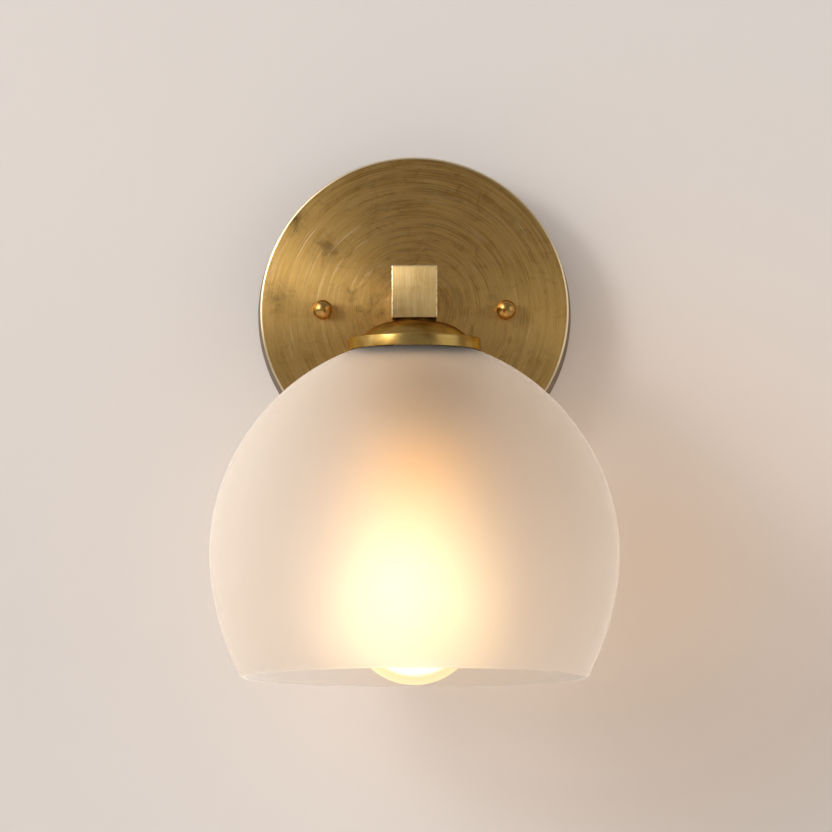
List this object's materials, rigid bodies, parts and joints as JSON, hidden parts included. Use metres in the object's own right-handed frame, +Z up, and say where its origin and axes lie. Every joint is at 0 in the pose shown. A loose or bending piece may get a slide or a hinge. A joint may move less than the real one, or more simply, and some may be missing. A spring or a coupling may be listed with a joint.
{
  "type": "wall sconce",
  "caption": "Wall sconce: round canopy, square arm with a block, domed cap and a frosted glass shade, open below, round a screw-in bulb.",
  "frame": {"origin": "on the wall, at the middle of the canopy's back and of the crossbar's slots", "axes": "+X to the right seen from the room, +Y into the wall, +Z up"},
  "size_m": [0.1524, 0.1712, 0.2071],
  "materials": {
    "aged_brass": "aged, brushed in rings",
    "block_brass": "aged, brushed straight",
    "cap_brass": "aged, turned",
    "knob_brass": "turned and polished",
    "plain_brass": "turned, unlacquered",
    "contact_brass": "pressed sheet",
    "zinc_steel": "zinc plated",
    "black_steel": "black oxide",
    "green_screw": "green plated",
    "nylon": "natural nylon",
    "phenolic": "moulded light brown",
    "black_lead": "smooth insulation",
    "white_lead": "smooth insulation",
    "green_lead": "smooth insulation",
    "connector_plastic": "moulded, ribbed",
    "gasket_rubber": "soft, matt",
    "frosted_glass": "etched matt outside",
    "bulb_glass": "white coated inside",
    "stem_glass": "clear",
    "light_sticks": "phosphor coated",
    "base_shell": "rolled sheet",
    "bulb_insulator": "black glass",
    "solder": "solder"
  },
  "bodies": {
    "fixture": {"canopy": "aged_brass", "crossbar": "zinc_steel", "mounting_studs": "zinc_steel", "ground_screw": "green_screw", "canopy_nipple": "plain_brass", "lock_washer": "zinc_steel", "canopy_nut": "plain_brass", "arm_tube": "aged_brass", "arm_plug": "plain_brass", "elbow_block": "block_brass", "arm_set_screw": "black_steel", "neck_collar": "aged_brass", "shade_cap": "cap_brass", "socket_nipple": "plain_brass", "socket_nut": "plain_brass", "socket_hood": "phenolic", "socket_body": "phenolic", "screw_shell": "contact_brass", "centre_contact": "contact_brass", "terminal_screws": "contact_brass", "hot_lead": "black_lead", "neutral_lead": "white_lead", "ground_lead": "green_lead", "wire_connectors": "connector_plastic", "upper_gasket": "gasket_rubber"},
    "left_washer": {"knob_washer_left": "nylon"},
    "left_knob": {"knob_left": "knob_brass"},
    "right_washer": {"knob_washer_right": "nylon"},
    "right_knob": {"knob_right": "knob_brass"},
    "shade": {"shade_glass": "frosted_glass", "lower_gasket": "gasket_rubber"},
    "shade_ring": {"shade_ring": "phenolic"},
    "bulb_tip": {"bulb_tip_contact": "solder"},
    "bulb": {"bulb_glass": "bulb_glass", "bulb_stem": "stem_glass", "bulb_filaments": "light_sticks", "bulb_base": "base_shell", "bulb_insulator": "bulb_insulator"}
  },
  "joints": [
    {"name": "left_knob_travel", "type": "slide", "parent": "fixture", "child": "left_washer", "axis": [0, -1, 0], "range_m": [0, 0.004]},
    {"name": "left_knob_turn", "type": "hinge", "parent": "left_washer", "child": "left_knob", "pos_m": [-0.035, -0.02, 0], "axis": [0, -1, 0], "range_deg": [0, 1830]},
    {"name": "right_knob_travel", "type": "slide", "parent": "fixture", "child": "right_washer", "axis": [0, -1, 0], "range_m": [0, 0.004]},
    {"name": "right_knob_turn", "type": "hinge", "parent": "right_washer", "child": "right_knob", "pos_m": [0.035, -0.02, 0], "axis": [0, -1, 0], "range_deg": [0, 1830]},
    {"name": "shade_drop", "type": "slide", "parent": "fixture", "child": "shade", "axis": [0, 0, -1], "range_m": [0, 0.02]},
    {"name": "shade_ring_turn", "type": "hinge", "parent": "shade", "child": "shade_ring", "pos_m": [0, -0.095, -0.03], "axis": [0, 0, -1], "range_deg": [0, 2882]},
    {"name": "bulb_travel", "type": "slide", "parent": "fixture", "child": "bulb_tip", "axis": [0, 0, -1], "range_m": [0, 0.01815]},
    {"name": "bulb_turn", "type": "hinge", "parent": "bulb_tip", "child": "bulb", "pos_m": [0, -0.095, -0.06], "axis": [0, 0, -1], "range_deg": [0, 1802]}
  ],
  "couplings": [
    {"joint": "left_knob_turn", "follows": "left_knob_travel", "rad_per_m": 7854},
    {"joint": "right_knob_turn", "follows": "right_knob_travel", "rad_per_m": 7854},
    {"joint": "shade_ring_turn", "follows": "shade_drop", "rad_per_m": 2513.3},
    {"joint": "bulb_turn", "follows": "bulb_travel", "rad_per_m": 1730.9}
  ]
}
